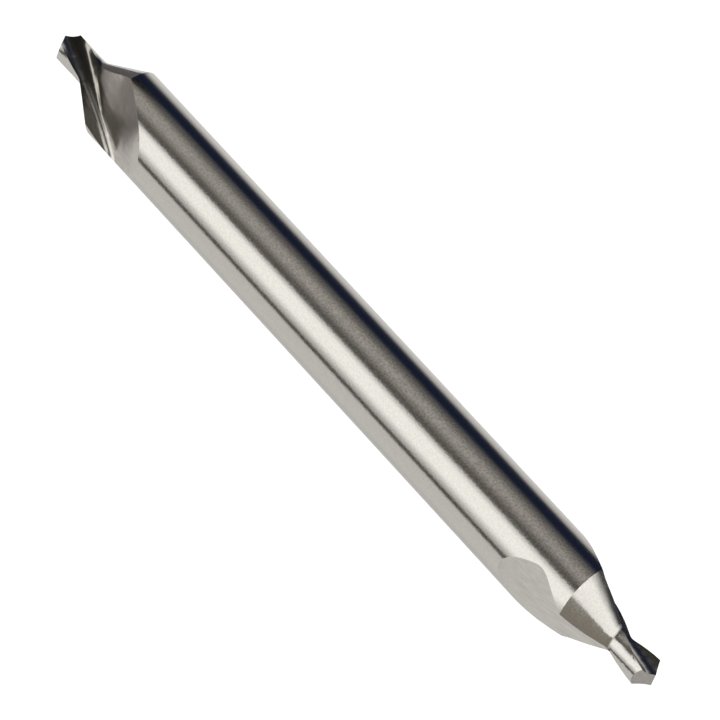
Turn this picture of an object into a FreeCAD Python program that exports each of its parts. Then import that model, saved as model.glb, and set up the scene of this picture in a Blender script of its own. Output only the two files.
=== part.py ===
import FreeCAD, Part
import math
import os
import Sketcher

# Double-ended centre drill: a plain round shank with a short pilot drill and a
# 60 degree countersink ground on each end.  The tool lies along X, its middle
# is at the origin, and both ends are the same ground form turned end for end.

DRIVING_SIZES = {
    # blank
    "shank_diameter": 3.15,
    "overall_length": 32.9,
    # countersink and pilot
    "pilot_diameter": 1.25,
    "pilot_length": 1.37,
    "cone_angle": 60.0,
    "blend_radius": 0.5,
    "point_angle": 118.0,
    "lip_relief": 20.0,
    # form relief behind each cutting edge, as fall in one full turn
    "cone_relief": 1.0,
    "pilot_relief": 0.16,
    # flute, as the wheel leaves it
    "wheel_radius": 17.7,
    "floor_offset": 0.077,
    "deepest_past_tip": 0.78,
    "root_radius": 0.27,
    "root_radius_at_tip": 0.75,
    "root_shift": 0.45,
    "edge_twist": 9.0,
    "floor_twist": 5.4,
    "floor_turn": 6.1,
    "heel_closing": 22.0,
    "rake_undercut": 0.656,
    "rake_lean": 0.21,
    # where the cutting edges stand about the axis
    "edge_angle": 167.6,
    "turnover_angle": 68.5,
}

GRINDING_CLEARANCE = 0.4    # mm the cuts start outside the blank
ARC_OVERLAP = 14.0          # degrees the relief starts ahead of the edge
LAND_SWEEP = 98.0           # degrees the relief runs back, into the next flute
FLUTE_SECTIONS = 9          # stations the flute is drawn at

# Lengths and angles that follow from the driving sizes.
SHANK_RADIUS = "(sizes.shank_diameter / 2)"
PILOT_RADIUS = "(sizes.pilot_diameter / 2)"
CONE_SLOPE = "tan(sizes.cone_angle / 2)"
TIP = "(sizes.overall_length / 2)"
CUT_START = f"({TIP} + {GRINDING_CLEARANCE})"
CUT_RADIUS = f"({SHANK_RADIUS} + {GRINDING_CLEARANCE})"
POINT_HEIGHT = f"({PILOT_RADIUS} / tan(sizes.point_angle / 2))"
CONE_LENGTH = f"(({SHANK_RADIUS} - {PILOT_RADIUS}) / {CONE_SLOPE})"
PILOT_START = f"({TIP} - {POINT_HEIGHT} - sizes.pilot_length)"
CONE_START = f"({PILOT_START} - {CONE_LENGTH})"
DEEPEST = f"({TIP} + sizes.deepest_past_tip)"
UNDERCUT_TURN = f"(asin(sizes.rake_undercut / {SHANK_RADIUS}) / 1 deg)"
EDGE_AT_CONE = f"(sizes.edge_angle - {UNDERCUT_TURN})"
EDGE_AT_TIP = f"(sizes.edge_angle + sizes.edge_twist * ({TIP} - {CONE_START}))"


def make_sheet(doc):
    """Driving sizes, one row each, in millimetres and degrees."""
    sheet = doc.addObject("Spreadsheet::Sheet", "sizes")
    for row, (name, value) in enumerate(DRIVING_SIZES.items(), start=1):
        sheet.set(f"A{row}", name)
        sheet.set(f"B{row}", str(value))
        sheet.setAlias(f"B{row}", name)
    doc.recompute()


def present(doc, expression):
    """Present value of an expression on the sheet, for first positions in sketches."""
    value = doc.sizes.evalExpression(expression.replace("sizes.", ""))
    return float(getattr(value, "Value", value))


def origin_part(body, role):
    """Base plane or axis of the body, found by its role."""
    for feature in body.Origin.OriginFeatures:
        if feature.Role == role:
            return feature
    raise ValueError("no origin feature " + role)


def add_sketch(body, name, role, turn_axis, turn, lift=None):
    """Sketch on a base plane, turned about one of its own axes."""
    sketch = body.newObject("Sketcher::SketchObject", name)
    sketch.AttachmentSupport = (origin_part(body, role), [""])
    sketch.MapMode = "FlatFace"
    no_shift = FreeCAD.Vector(0, 0, 0)
    sketch.AttachmentOffset = FreeCAD.Placement(no_shift, FreeCAD.Rotation(turn_axis, 1))
    sketch.setExpression("AttachmentOffset.Rotation.Angle", turn)
    if lift:
        sketch.setExpression("AttachmentOffset.Base.z", lift)
    return sketch


def add_axial_sketch(body, name, turn="0"):
    """Sketch holding the tool's axis, its plane turned about that axis."""
    return add_sketch(body, name, "XY_Plane", FreeCAD.Vector(1, 0, 0), turn)


def add_cross_sketch(body, name, turn, lift=None):
    """Sketch square to the tool's axis, its own axes turned about it."""
    return add_sketch(body, name, "YZ_Plane", FreeCAD.Vector(0, 0, 1), turn, lift)


def add_line(sketch, start, end):
    line = Part.LineSegment(FreeCAD.Vector(*start, 0), FreeCAD.Vector(*end, 0))
    return sketch.addGeometry(line, False)


def add_arc(sketch, centre, radius, first, last):
    circle = Part.Circle(FreeCAD.Vector(*centre, 0), FreeCAD.Vector(0, 0, 1), radius)
    return sketch.addGeometry(Part.ArcOfCircle(circle, first, last), False)


def add_chain(sketch, points):
    """Straight lines from point to point, each joined to the next."""
    lines = [add_line(sketch, *ends) for ends in zip(points, points[1:])]
    for line, following in zip(lines, lines[1:]):
        rule(sketch, "Coincident", line, 2, following, 1)
    return lines


def rule(sketch, kind, *references):
    sketch.addConstraint(Sketcher.Constraint(kind, *references))


def size(sketch, name, expression, kind, *references):
    """Named dimension of a sketch that follows the sheet."""
    value = present(sketch.Document, expression)
    if kind == "Angle":
        value = math.radians(value)
    index = sketch.addConstraint(Sketcher.Constraint(kind, *references, value))
    sketch.renameConstraint(index, name)
    sketch.setExpression("Constraints." + name, expression)


def add_blank(body):
    """Plain ground rod that both ends are cut from."""
    half = present(body.Document, TIP)
    radius = present(body.Document, SHANK_RADIUS)
    sketch = add_axial_sketch(body, "blank_profile")
    corners = [(-half, 0), (half, 0), (half, radius), (-half, radius), (-half, 0)]
    axis, near_end, outside, far_end = add_chain(sketch, corners)
    rule(sketch, "Coincident", far_end, 2, axis, 1)
    rule(sketch, "Horizontal", axis)
    rule(sketch, "Vertical", near_end)
    rule(sketch, "Horizontal", outside)
    rule(sketch, "Vertical", far_end)
    rule(sketch, "PointOnObject", axis, 1, -1)
    size(sketch, "length", "sizes.overall_length", "DistanceX", axis, 1, axis, 2)
    size(sketch, "near_end", TIP, "DistanceX", -1, 1, axis, 2)
    size(sketch, "radius", SHANK_RADIUS, "DistanceY", near_end, 1, near_end, 2)
    blank = body.newObject("PartDesign::Revolution", "blank")
    blank.Profile = sketch
    blank.ReferenceAxis = (sketch, ["H_Axis"])
    blank.Angle = 360
    return blank


def add_form_relief(body):
    """Countersink, blend and pilot of one land, falling away behind the edge.

    The profile is swept back from ahead of the cutting edge.  It moves towards
    the shank and in towards the axis as it turns.  The edge itself is twisted,
    so the profile is a little steeper than the cone the edge describes.
    """
    doc = body.Document
    ahead = f"({EDGE_AT_TIP} + {ARC_OVERLAP} - {EDGE_AT_CONE})"
    slope = f"({CONE_SLOPE} / (1 - sizes.cone_relief * sizes.edge_twist / 360))"
    fall = f"(sizes.cone_relief * {ahead} / 360)"
    pilot = f"({PILOT_RADIUS} + sizes.pilot_relief * {ARC_OVERLAP} / 360)"
    cone_from = f"({CONE_START} + {fall} - {GRINDING_CLEARANCE} / {slope})"

    x_top = present(doc, cone_from)
    y_top = present(doc, CUT_RADIUS)
    x_front = present(doc, CUT_START)
    y_pilot = present(doc, pilot)
    tilt = math.atan(present(doc, slope))
    blend = present(doc, "sizes.blend_radius")
    reach = blend * math.tan(tilt / 2)
    x_corner = x_top + (y_top - y_pilot) / math.tan(tilt)
    cone_end = (x_corner - reach * math.cos(tilt), y_pilot + reach * math.sin(tilt))
    blend_centre = (x_corner + reach, y_pilot + blend)

    sketch = add_axial_sketch(body, "form_profile", f"{EDGE_AT_CONE} + {ahead}")
    cone = add_line(sketch, (x_top, y_top), cone_end)
    arc = add_arc(sketch, blend_centre, blend, 1.5 * math.pi - tilt, 1.5 * math.pi)
    corners = [(blend_centre[0], y_pilot), (x_front, y_pilot), (x_front, y_top), (x_top, y_top)]
    along_pilot, face, outside = add_chain(sketch, corners)
    rule(sketch, "Tangent", cone, 2, arc, 1)
    rule(sketch, "Tangent", arc, 2, along_pilot, 1)
    rule(sketch, "Coincident", outside, 2, cone, 1)
    rule(sketch, "Horizontal", along_pilot)
    rule(sketch, "Vertical", face)
    rule(sketch, "Horizontal", outside)
    size(sketch, "blend", "sizes.blend_radius", "Radius", arc)
    size(sketch, "cone_side", f"180 - atan({slope}) / 1 deg", "Angle", along_pilot, 1, cone, 2)
    size(sketch, "cone_from", cone_from, "DistanceX", -1, 1, cone, 1)
    size(sketch, "outside", CUT_RADIUS, "DistanceY", -1, 1, cone, 1)
    size(sketch, "pilot", pilot, "DistanceY", -1, 1, along_pilot, 1)
    size(sketch, "front", CUT_START, "DistanceX", -1, 1, face, 1)

    turns = f"(({ahead} + {LAND_SWEEP}) / 360)"
    relief = body.newObject("PartDesign::SubtractiveHelix", "form_relief")
    relief.Profile = sketch
    relief.ReferenceAxis = (origin_part(body, "X_Axis"), [""])
    relief.Mode = "height-turns-growth"
    relief.Reversed = True
    relief.setExpression("Turns", turns)
    relief.setExpression("Height", f"sizes.cone_relief * {turns}")
    relief.setExpression("Growth", "0 - sizes.pilot_relief")
    return relief


def add_flute_section(body, number):
    """Outline of the flute space at one station: rake face, root and floor.

    The sketch is turned so that the rake face is level.  The floor stands
    nearly square to it and comes up on the wheel's arc towards the shank.  From
    the cone to the tip the root grows rounder and the floor leans over it, until
    the flute is one hollow.  The root's centre moves off the floor as it grows.
    """
    doc = body.Document
    gap = f"({CUT_RADIUS} - sizes.floor_offset)"
    run_out = f"sqrt({gap} * (2 * sizes.wheel_radius - {gap}))"
    back = f"({DEEPEST} - {run_out})"
    along = f"({number} / {FLUTE_SECTIONS - 1})"
    station = f"({back} + ({CUT_START} - {back}) * {along})"
    from_cone = f"({station} - {CONE_START})"
    to_deepest = f"({DEEPEST} - {station})"
    turn = f"(sizes.edge_angle + sizes.edge_twist * {from_cone})"
    towards_tip = f"(max({from_cone}; 0) / ({TIP} - {CONE_START}))"
    floor_lean = f"(sizes.floor_turn + (sizes.floor_twist - sizes.edge_twist) * {from_cone})"
    lean = f"({floor_lean} - sizes.heel_closing * {towards_tip} * (2 - {towards_tip}))"
    rise = f"(sizes.wheel_radius - sqrt(sizes.wheel_radius ^ 2 - {to_deepest} ^ 2))"
    floor = f"(sizes.floor_offset + {rise} + sizes.root_radius)"
    face = f"(sizes.rake_lean * {from_cone} - sizes.rake_undercut)"
    growth = f"((sizes.root_radius_at_tip - sizes.root_radius) * {towards_tip})"
    root = f"(sizes.root_radius + {growth})"
    shortening = f"(({face} + sizes.root_radius) * sin({floor_lean}))"
    centre = f"(({floor} - {shortening}) / cos({floor_lean}) + sizes.root_shift * {growth})"
    outside = "sizes.shank_diameter"

    tilt = math.radians(present(doc, lean))
    level = present(doc, face)
    round_off = present(doc, root)
    reach = present(doc, outside)
    root_centre = (present(doc, centre), level + round_off)
    root_on_face = (root_centre[0], level)
    root_on_floor = (
        root_centre[0] - round_off * math.cos(tilt),
        root_centre[1] - round_off * math.sin(tilt),
    )
    floor_end = (root_on_floor[0] - (reach - root_on_floor[1]) * math.tan(tilt), reach)

    sketch = add_cross_sketch(body, f"flute_section_{number}", turn, station)
    points = [root_on_face, (reach, level), (reach, reach), floor_end, root_on_floor]
    rake, side, lid, bed = add_chain(sketch, points)
    arc = add_arc(sketch, root_centre, round_off, math.pi + tilt, 1.5 * math.pi)
    rule(sketch, "Tangent", bed, 2, arc, 1)
    rule(sketch, "Tangent", arc, 2, rake, 1)
    rule(sketch, "Horizontal", rake)
    rule(sketch, "Vertical", side)
    rule(sketch, "Horizontal", lid)
    size(sketch, "root", root, "Radius", arc)
    size(sketch, "opening", f"90 + {lean}", "Angle", rake, 1, bed, 2)
    size(sketch, "floor", centre, "DistanceX", -1, 1, arc, 3)
    size(sketch, "face", face, "DistanceY", -1, 1, rake, 1)
    size(sketch, "side", outside, "DistanceX", -1, 1, rake, 2)
    size(sketch, "lid", outside, "DistanceY", -1, 1, side, 2)
    return sketch


def add_flute(body):
    """One flute: a spiral cut whose floor rises on the wheel's arc into the shank."""
    sections = [add_flute_section(body, number) for number in range(FLUTE_SECTIONS)]
    flute = body.newObject("PartDesign::SubtractiveLoft", "flute")
    flute.Profile = sections[0]
    flute.Sections = sections[1:]
    return flute


def add_point_flank(body):
    """Flat flank of one lip, falling out to the corner and back to the heel."""
    doc = body.Document
    side_fall = "(1 / tan(sizes.point_angle / 2))"
    heel_fall = "(tan(sizes.lip_relief) / sin(sizes.point_angle / 2))"
    steepest = f"(atan({heel_fall} / {side_fall}) / 1 deg)"
    fall = f"(sqrt({side_fall} ^ 2 + {heel_fall} ^ 2) * sizes.shank_diameter)"
    lip = f"(sizes.edge_angle + sizes.edge_twist * ({TIP} - {POINT_HEIGHT} - {CONE_START}))"

    drop = present(doc, fall)
    reach = present(doc, "sizes.shank_diameter")
    tip = present(doc, TIP)
    sketch = add_axial_sketch(body, "flank_profile", f"{lip} - {steepest}")
    heel = (tip - drop, reach)
    corners = [heel, (tip + drop, -reach), (tip + drop, reach), heel]
    flank, face, side = add_chain(sketch, corners)
    rule(sketch, "Coincident", side, 2, flank, 1)
    rule(sketch, "Vertical", face)
    rule(sketch, "Horizontal", side)
    size(sketch, "heel", f"{TIP} - {fall}", "DistanceX", -1, 1, flank, 1)
    size(sketch, "ahead", f"{TIP} + {fall}", "DistanceX", -1, 1, flank, 2)
    size(sketch, "above", "sizes.shank_diameter", "DistanceY", -1, 1, flank, 1)
    size(sketch, "below", "sizes.shank_diameter", "DistanceY", flank, 2, -1, 1)
    pocket = body.newObject("PartDesign::Pocket", "point_flank")
    pocket.Profile = sketch
    pocket.Type = "Length"
    pocket.Midplane = True
    pocket.setExpression("Length", "4 * sizes.shank_diameter")
    return pocket


def repeat_ends(body, cuts):
    """Second flute half a turn on, then the same form turned end for end."""
    sketch = add_cross_sketch(body, "turnover_axis", "sizes.turnover_angle")
    line = add_line(sketch, (0, 0), (1, 0))
    sketch.toggleConstruction(line)
    both = body.newObject("PartDesign::MultiTransform", "both_ends")
    both.Originals = cuts
    around = body.newObject("PartDesign::PolarPattern", "opposite_flute")
    around.Axis = (origin_part(body, "X_Axis"), [""])
    over = body.newObject("PartDesign::PolarPattern", "other_end")
    over.Axis = (sketch, ["H_Axis"])
    for half_turn in (around, over):
        half_turn.Angle = 360
        half_turn.Occurrences = 2
    both.Transformations = [around, over]
    body.Tip = both
    return both


def check(doc, body):
    """Stop unless every feature is sound and the tool is one piece."""
    for thing in doc.Objects:
        if "Invalid" in thing.State or "Error" in thing.State:
            raise RuntimeError(f"{thing.Name} failed: {thing.State}")
    shape = body.Shape
    if shape.isNull() or not shape.isValid() or len(shape.Solids) != 1:
        raise RuntimeError("the tool is not one sound solid")


def main():
    doc = FreeCAD.newDocument("centre_drill")
    make_sheet(doc)
    body = doc.addObject("PartDesign::Body", "centre_drill")
    add_blank(body)
    doc.recompute()
    volume = body.Shape.Volume
    cuts = []
    for add_cut in (add_form_relief, add_flute, add_point_flank):
        cuts.append(add_cut(body))
        doc.recompute()
        if not 0 < body.Shape.Volume < volume:
            raise RuntimeError(cuts[-1].Name + " removes nothing")
        volume = body.Shape.Volume
    repeat_ends(body, cuts)
    doc.recompute()
    check(doc, body)
    os.makedirs("parts", exist_ok=True)
    body.Shape.exportStep("parts/centre_drill.step")
    print("centre_drill", round(body.Shape.Volume, 3), "mm3")


main()
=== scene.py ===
import math

import bpy
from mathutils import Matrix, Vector


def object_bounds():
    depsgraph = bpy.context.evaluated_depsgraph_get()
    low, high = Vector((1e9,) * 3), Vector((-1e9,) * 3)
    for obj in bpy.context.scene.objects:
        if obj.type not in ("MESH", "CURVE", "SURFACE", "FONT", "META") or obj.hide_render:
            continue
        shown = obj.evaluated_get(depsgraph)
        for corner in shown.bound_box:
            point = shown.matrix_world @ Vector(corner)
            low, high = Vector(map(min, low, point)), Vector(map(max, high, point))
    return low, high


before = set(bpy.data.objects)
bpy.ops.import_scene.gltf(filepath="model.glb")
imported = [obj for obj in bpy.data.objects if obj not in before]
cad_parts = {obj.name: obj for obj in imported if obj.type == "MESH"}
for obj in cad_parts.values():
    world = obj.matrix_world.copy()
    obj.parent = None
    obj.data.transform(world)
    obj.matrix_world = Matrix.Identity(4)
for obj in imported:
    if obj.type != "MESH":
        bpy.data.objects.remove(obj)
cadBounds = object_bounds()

millimetre = 0.001
scene = bpy.context.scene


# A socket that does its own sums: each operator adds the node it needs.
class Wire:
    def __init__(self, shader, socket):
        self.shader = shader
        self.socket = socket

    def maths(self, operation, *values):
        made = self.shader.node("ShaderNodeMath", {"operation": operation}, *values)
        return self.shader.out(made, "Value")

    def __add__(self, other):
        return self.maths("ADD", self, other)

    def __radd__(self, other):
        return self.maths("ADD", other, self)

    def __sub__(self, other):
        return self.maths("SUBTRACT", self, other)

    def __rsub__(self, other):
        return self.maths("SUBTRACT", other, self)

    def __mul__(self, other):
        return self.maths("MULTIPLY", self, other)

    def __rmul__(self, other):
        return self.maths("MULTIPLY", other, self)

    def __truediv__(self, other):
        return self.maths("DIVIDE", self, other)

    def __rtruediv__(self, other):
        return self.maths("DIVIDE", other, self)

    def __abs__(self):
        return self.maths("ABSOLUTE", self)

    def larger(self, other):
        return self.maths("MAXIMUM", self, other)

    def root(self):
        return self.maths("SQRT", self)

    def sine(self):
        return self.maths("SINE", self)

    def cosine(self):
        return self.maths("COSINE", self)

    def angle(self, other):
        # the angle whose tangent is self / other
        return self.maths("ARCTAN2", self, other)


# A node tree that is written as expressions.
class Shader:
    def __init__(self, owner, outputType):
        owner.use_nodes = True
        self.tree = owner.node_tree
        self.tree.nodes.clear()
        self.output = self.tree.nodes.new(outputType)

    def node(self, kind, settings=None, *values, **sockets):
        # plain values fill the sockets in their order, named ones by name, with _ for a space
        made = self.tree.nodes.new(kind)
        for name, value in (settings or {}).items():
            if name == "stops":
                setStops(made.color_ramp, value)
            else:
                setattr(made, name, value)
        for socket, value in zip(made.inputs, values):
            self.plug(socket, value)
        for name, value in sockets.items():
            self.plug(findSocket(made.inputs, name), value)
        return made

    def plug(self, socket, value):
        if isinstance(value, Wire):
            self.tree.links.new(value.socket, socket)
        elif socket.type == "RGBA":
            socket.default_value = (*value, 1.0)
        else:
            socket.default_value = value

    def out(self, made, name):
        return Wire(self, findSocket(made.outputs, name))

    def ramp(self, factor, low, high, first=0.0, last=1.0):
        # smooth step from first to last as the factor goes from low to high
        made = self.node(
            "ShaderNodeMapRange", {"interpolation_type": "SMOOTHSTEP"},
            Value=factor, From_Min=low, From_Max=high, To_Min=first, To_Max=last)
        return self.out(made, "Result")

    def window(self, factor, rise, fall):
        # up from 0 to 1 over the rise and down again over the fall
        return self.ramp(factor, *rise) * self.ramp(factor, *fall, 1.0, 0.0)

    def mix(self, factor, first, second):
        made = self.node("ShaderNodeMix", {"data_type": "RGBA"}, Factor=factor, A=first, B=second)
        return self.out(made, "Result")

    def finish(self, made):
        self.tree.links.new(made.outputs[0], self.output.inputs["Surface"])


def findSocket(sockets, name):
    plain = name.replace("_", " ")
    for socket in sockets:
        if socket.name == plain and socket.enabled:
            return socket
    raise KeyError(plain)


def setStops(colorRamp, stops):
    while len(colorRamp.elements) > 1:
        colorRamp.elements.remove(colorRamp.elements[-1])
    colorRamp.elements[0].position = stops[0][0]
    colorRamp.elements[0].color = (*stops[0][1], 1.0)
    for position, color in stops[1:]:
        element = colorRamp.elements.new(position)
        element.color = (*color, 1.0)


camera = {
    "azimuth": 52.0,       # degrees round from the front
    "elevation": 57.785,   # degrees up
    "distance": 177.0,     # mm
    "lens": 258.27,        # mm
    "sensor": 36.0,        # mm
    "clip": (10.0, 20000.0),           # mm, nearest and farthest
    "target": (0.667, 0.049, 0.019),   # mm, a point close to the shank's axis
}


def addCamera():
    azimuth = math.radians(camera["azimuth"])
    elevation = math.radians(camera["elevation"])
    back = Vector((
        math.sin(azimuth) * math.cos(elevation),
        -math.cos(azimuth) * math.cos(elevation),
        math.sin(elevation),
    ))
    data = bpy.data.cameras.new("camera")
    data.lens = camera["lens"]
    data.sensor_width = camera["sensor"]
    data.clip_start, data.clip_end = (reach * millimetre for reach in camera["clip"])
    holder = bpy.data.objects.new("camera", data)
    holder.location = (Vector(camera["target"]) + back * camera["distance"]) * millimetre
    holder.rotation_euler = back.to_track_quat("Z", "Y").to_euler()
    scene.collection.objects.link(holder)
    scene.camera = holder
    print("camera placed")


studio = {
    "softbox": (1.43, 1.445, 1.43),     # the bright panel over the left shoulder
    "edge": (0.86, 0.86, 0.85),         # where that panel fades
    "foot": (0.80, 0.80, 0.79),         # its dim lower part
    "hem": (0.50, 0.50, 0.485),         # its last edge
    "gap": (0.095, 0.093, 0.087),       # between the panel's foot and the floor
    "wall": (0.47, 0.455, 0.43),        # grey wall on the right
    "lowWall": (0.20, 0.195, 0.185),    # its dim lower part
    "shade": (0.135, 0.131, 0.122),     # dark strip between wall and panel
    "cloth": (0.010, 0.016, 0.040),     # navy cloth, low on the right
    "clothEdge": (0.032, 0.036, 0.055),
    "flag": (0.020, 0.017, 0.012),      # black screen in front of the wall
    "farWall": (0.045, 0.041, 0.034),   # the wall and the panel, seen past the far end
    "farPanel": (1.0, 0.97, 0.90),
    "dark": (0.010, 0.010, 0.010),      # between those two
    "dusk": (0.10, 0.10, 0.10),         # low on the right, towards the near end
    "glow": (0.62, 0.62, 0.61),         # and a little higher
    "nearOlive": (0.300, 0.278, 0.240),     # unlit left side, towards the near end
    "nearPole": (0.66, 0.66, 0.66),     # straight off the near end
    "beyond": (0.285, 0.262, 0.255),    # past the floor's far edge
    "ground": (0.66, 0.65, 0.645),      # past its right edge
    "farGround": (0.140, 0.136, 0.140),     # the same past the far end
    "olive": (0.185, 0.175, 0.150),     # past its other edges
    "shown": (1.0, 1.0, 1.0),           # what the camera sees of all this
}

# what stands round the tool's line, by the turn about it:
# from the right (0) over the top (0.5) to the left (1)
bands = {
    "farSide": [
        (0.0, "clothEdge"), (0.05, "cloth"), (0.152, "cloth"),
        (0.24, "lowWall"), (0.35, "wall"), (0.41, "wall"),
        (0.52, "shade"), (0.575, "shade"), (0.60, "edge"),
        (0.66, "softbox"), (0.815, "softbox"), (0.90, "foot"), (0.95, "hem"),
        (0.964, "gap"), (1.0, "gap"),
    ],
    "farEnd": [
        (0.0, "cloth"), (0.13, "cloth"), (0.30, "farWall"), (0.40, "farWall"),
        (0.48, "dark"), (0.70, "dark"), (0.79, "farPanel"), (1.0, "farPanel"),
    ],
    "nearSide": [
        (0.0, "cloth"), (0.06, "dusk"), (0.13, "glow"),
        (0.25, "softbox"), (0.585, "softbox"), (0.615, "nearOlive"), (1.0, "nearOlive"),
    ],
}

# where one part of the room gives way to the next
borders = {
    "nearSide": (-0.15, 0.15),      # parts along the tool, -1 is straight off the far end
    "farEnd": (-0.70, -0.55),
    "nearPole": (0.64, 0.72),
    "beyond": (-0.62, -0.50),
    "farGround": (-0.76, -0.60),
    "flagFar": (-0.33, -0.27),
    "flagNear": (-0.18, -0.06),
    "flagLow": (0.235, 0.29),       # turns, as in bands
    "flagHigh": (0.46, 0.52),
    "right": (0.0, 0.1),            # part across
    "ground": (-0.28, 0.02),        # parts up
    "horizon": (-0.03, 0.0),
}


def lookUpBand(shader, name, turn):
    stops = [(place, studio[color]) for place, color in bands[name]]
    return shader.out(shader.node("ShaderNodeValToRGB", {"stops": stops}, Fac=turn), "Color")


# The room is a dome round the tool.  The steel mirrors it, the camera sees plain white.
def lightRoom():
    world = bpy.data.worlds.new("studio")
    scene.world = world
    shader = Shader(world, "ShaderNodeOutputWorld")
    coordinates = shader.node("ShaderNodeTexCoord")
    parts = shader.node("ShaderNodeSeparateXYZ", Vector=shader.out(coordinates, "Generated"))
    along, across, upward = (shader.out(parts, name) for name in "XYZ")
    turn = upward.angle(across) * (1.0 / math.pi)

    farSide, farEnd, nearSide = (lookUpBand(shader, name, turn) for name in bands)
    room = shader.mix(shader.ramp(along, *borders["nearSide"]), farSide, nearSide)
    flag = shader.window(along, borders["flagFar"], borders["flagNear"])
    flag = flag * shader.window(turn, borders["flagLow"], borders["flagHigh"])
    room = shader.mix(flag, room, studio["flag"])
    room = shader.mix(shader.ramp(along, *borders["farEnd"]), farEnd, room)

    # below the horizon, where the floor ends
    below = shader.mix(shader.ramp(along, *borders["beyond"]), studio["beyond"], studio["olive"])
    lowRight = shader.mix(shader.ramp(upward, *borders["ground"]), studio["ground"], studio["clothEdge"])
    lowRight = shader.mix(shader.ramp(along, *borders["farGround"]), studio["farGround"], lowRight)
    below = shader.mix(shader.ramp(across, *borders["right"]), below, lowRight)
    room = shader.mix(shader.ramp(upward, *borders["horizon"]), below, room)
    room = shader.mix(shader.ramp(along, *borders["nearPole"]), room, studio["nearPole"])

    path = shader.node("ShaderNodeLightPath")
    color = shader.mix(shader.out(path, "Is_Camera_Ray"), room, studio["shown"])
    shader.finish(shader.node("ShaderNodeBackground", Color=color))
    print("room lit")


def addSheet(name, corners):
    mesh = bpy.data.meshes.new(name)
    mesh.from_pydata([Vector(corner) * millimetre for corner in corners], [], [range(len(corners))])
    sheet = bpy.data.objects.new(name, mesh)
    scene.collection.objects.link(sheet)
    return sheet


def addMaterial(sheet, name):
    material = bpy.data.materials.new(name)
    sheet.data.materials.append(material)
    return Shader(material, "ShaderNodeOutputMaterial")


floor = {
    "drop": 60.0,          # mm below the tool's axis
    "far": 900.0,          # mm it runs to the left, and as far back on that side
    "back": 110.0,         # mm it runs back elsewhere, past the far end
    "backCorner": 60.0,    # mm to the left, where its back edge turns away
    "near": 60.0,          # mm it runs forward, past the near end
    "right": 150.0,        # mm it runs to the right
    "color": (0.82, 0.82, 0.82),
    "shownGlow": 0.58,     # its own light as the camera sees it
    "mirroredGlow": 0.25,  # and as the steel sees it
    "paintedShadeShare": 0.35,    # share of that right under the tool, as painted shade
    "paintedShadeReach": (10.0, 55.0),   # mm aside, from the painted shade under the tool out to the full glow
}


def addFloor():
    names = ("far", "near", "right", "back", "backCorner")
    far, near, right, back, backCorner = (floor[name] for name in names)
    outline = [(-far, -far), (near, -far), (near, right), (-back, right), (-back, -backCorner)]
    sheet = addSheet("floor", [(*corner, -floor["drop"]) for corner in outline])
    shader = addMaterial(sheet, "paleFloor")
    path = shader.node("ShaderNodeLightPath")
    place = shader.node("ShaderNodeTexCoord")
    parts = shader.node("ShaderNodeSeparateXYZ", Vector=shader.out(place, "Object"))
    aside = abs(shader.out(parts, "Y")) * (1.0 / millimetre)
    # painted shade: the glow the steel sees is painted darker right under the tool
    spread = shader.ramp(aside, *floor["paintedShadeReach"], floor["paintedShadeShare"], 1.0)
    glow = shader.out(path, "Is_Camera_Ray") * floor["shownGlow"]
    glow = glow + shader.out(path, "Is_Glossy_Ray") * spread * floor["mirroredGlow"]
    paint = shader.node("ShaderNodeBsdfDiffuse", Color=floor["color"])
    shine = shader.node("ShaderNodeEmission", Strength=glow)
    both = (shader.out(paint, "BSDF"), shader.out(shine, "Emission"))
    shader.finish(shader.node("ShaderNodeAddShader", None, *both))
    print("floor laid")


# a black card close to the far tip, which shows in the steel and nowhere else
card = {
    "x": (-30.0, -16.7),   # mm
    "y": (-7.0, 10.0),
    "z": 7.0,
    "color": (0.015, 0.013, 0.010),
}


def hangCard():
    (far, near), (left, right) = card["x"], card["y"]
    outline = [(far, left), (near, left), (near, right), (far, right)]
    sheet = addSheet("card", [(*corner, card["z"]) for corner in outline])
    shader = addMaterial(sheet, "blackCard")
    shader.finish(shader.node("ShaderNodeBsdfDiffuse", Color=card["color"]))
    sheet.visible_camera = False
    sheet.visible_diffuse = False
    sheet.visible_shadow = False
    print("card hung")


steel = {
    "color": (0.585, 0.56, 0.525),
    "roughness": 0.15,
    "fluteRoughness": 0.05,    # what the flutes add to it
    "grainRoughness": 0.06,    # how far the grain varies it
    "shankSkin": (0.05, 0.03),     # mm under the shank's surface, where its finish comes in
    "coneSlope": (0.34, 0.42),     # X of a normal, where the cone's and the point's finish comes in
    "coneEnd": (1.85, 2.05),       # mm from the tip, where the pilot starts
    "pilotSkin": (0.54, 0.56),     # mm from the axis, where the pilot's land starts
    "fluteTurn": 0.16,         # radians per mm that the wheel marks turn about the axis
    "grainScale": (14.0, 13.0),    # grains per mm, along the tool and across it
    "markScale": (0.5, 8.0),       # wheel marks per mm, the same way
    "grain": 0.0022,           # mm, height of the grain
    "wheelMarks": 0.0020,      # mm, height of the marks along the flutes
    "mottle": 0.28,            # how far the grain lightens and darkens the steel
    "grainAndPaintedSheen": 1.10,          # the same on top of the shank, painted stronger there as painted sheen over the real grain
    "streaks": 0.42,           # and the marks along the flutes
    "top": (0.93, 0.985),          # Z of a round surface, where the painted sheen on the grain comes in
    "freckleFade": (-14.0, 4.0),   # mm along the tool, over which the painted sheen gains strength
    "farPaintedSheen": 0.42,       # the painted sheen's share at the far end
}


def noise(shader, place, scale, detail):
    along, across = scale
    x, y, z = place
    spread = shader.node("ShaderNodeCombineXYZ", X=x * along, Y=y * across, Z=z * across)
    made = shader.node("ShaderNodeTexNoise", Vector=shader.out(spread, "Vector"), Scale=1.0, Detail=detail)
    return shader.out(made, "Fac")


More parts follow.
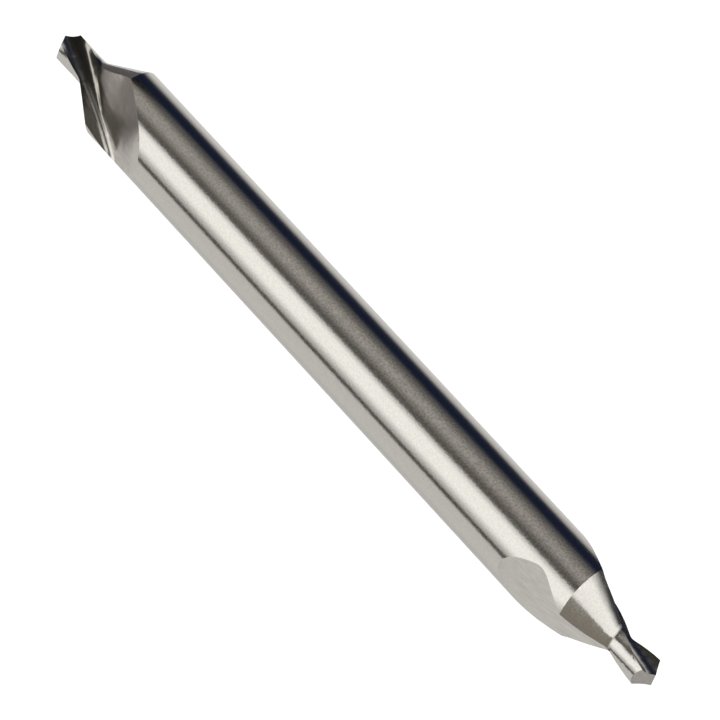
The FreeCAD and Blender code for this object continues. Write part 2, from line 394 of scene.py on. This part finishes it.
def dressSteel():
    tip, shankRadius = (reach / millimetre for reach in cadBounds[1][:2])
    material = bpy.data.materials.new("groundSteel")
    shader = Shader(material, "ShaderNodeOutputMaterial")
    coordinates = shader.node("ShaderNodeTexCoord")
    inMillimetres = shader.node(
        "ShaderNodeVectorMath", {"operation": "SCALE"},
        Vector=shader.out(coordinates, "Object"), Scale=1.0 / millimetre)
    parts = shader.node("ShaderNodeSeparateXYZ", Vector=shader.out(inMillimetres, "Vector"))
    x, y, z = (shader.out(parts, name) for name in "XYZ")
    facing = shader.node("ShaderNodeSeparateXYZ", Vector=shader.out(coordinates, "Normal"))
    radius = (y * y + z * z).root()

    # the round surfaces and the point's flanks, as against the flutes
    onShank = shader.ramp(radius, *(shankRadius - depth for depth in steel["shankSkin"]))
    onCone = shader.ramp(abs(shader.out(facing, "X")), *steel["coneSlope"])
    pastCone = shader.ramp(tip - abs(x), *steel["coneEnd"], 1.0, 0.0)
    onPilot = shader.ramp(radius, *steel["pilotSkin"]) * pastCone
    onLand = onShank.larger(onCone).larger(onPilot)
    offLand = 1.0 - onLand

    # wheel marks run along the flutes: noise drawn out along the untwisted axis
    turned = x * -steel["fluteTurn"]
    across = y * turned.cosine() - z * turned.sine()
    upward = y * turned.sine() + z * turned.cosine()
    marks = noise(shader, (x, across, upward), steel["markScale"], 3.0)
    # the round surfaces show a fine, even grain
    grain = noise(shader, (x, y, z), steel["grainScale"], 2.0)

    height = onLand * (grain * steel["grain"]) + offLand * (marks * steel["wheelMarks"])
    bump = shader.node("ShaderNodeBump", Height=height, Distance=millimetre)

    # painted sheen: on top of the shank the grain's mottle is painted stronger into the base colour,
    # standing in for scattered light
    paintedSheenOnTop = onShank * shader.ramp(z / radius, *steel["top"])
    paintedSheenOnTop = paintedSheenOnTop * shader.ramp(x, *steel["freckleFade"], steel["farPaintedSheen"], 1.0)
    mottle = steel["mottle"] + paintedSheenOnTop * (steel["grainAndPaintedSheen"] - steel["mottle"])
    light = 1.0 + (grain - 0.5) * mottle * onLand + (marks - 0.5) * steel["streaks"] * offLand
    tinted = shader.node("ShaderNodeVectorMath", {"operation": "SCALE"}, Vector=steel["color"], Scale=light)
    roughness = steel["roughness"] + offLand * steel["fluteRoughness"]
    roughness = roughness + (grain - 0.5) * steel["grainRoughness"]
    shader.finish(shader.node(
        "ShaderNodeBsdfPrincipled",
        Base_Color=shader.out(tinted, "Vector"),
        Metallic=1.0,
        Roughness=roughness,
        Normal=shader.out(bump, "Normal"),
    ))
    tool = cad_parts["centre_drill"]
    for slot in tool.material_slots:
        slot.material = material
    print("steel dressed")


addCamera()
lightRoom()
addFloor()
hangCard()
dressSteel()

scene.view_settings.view_transform = "Standard"
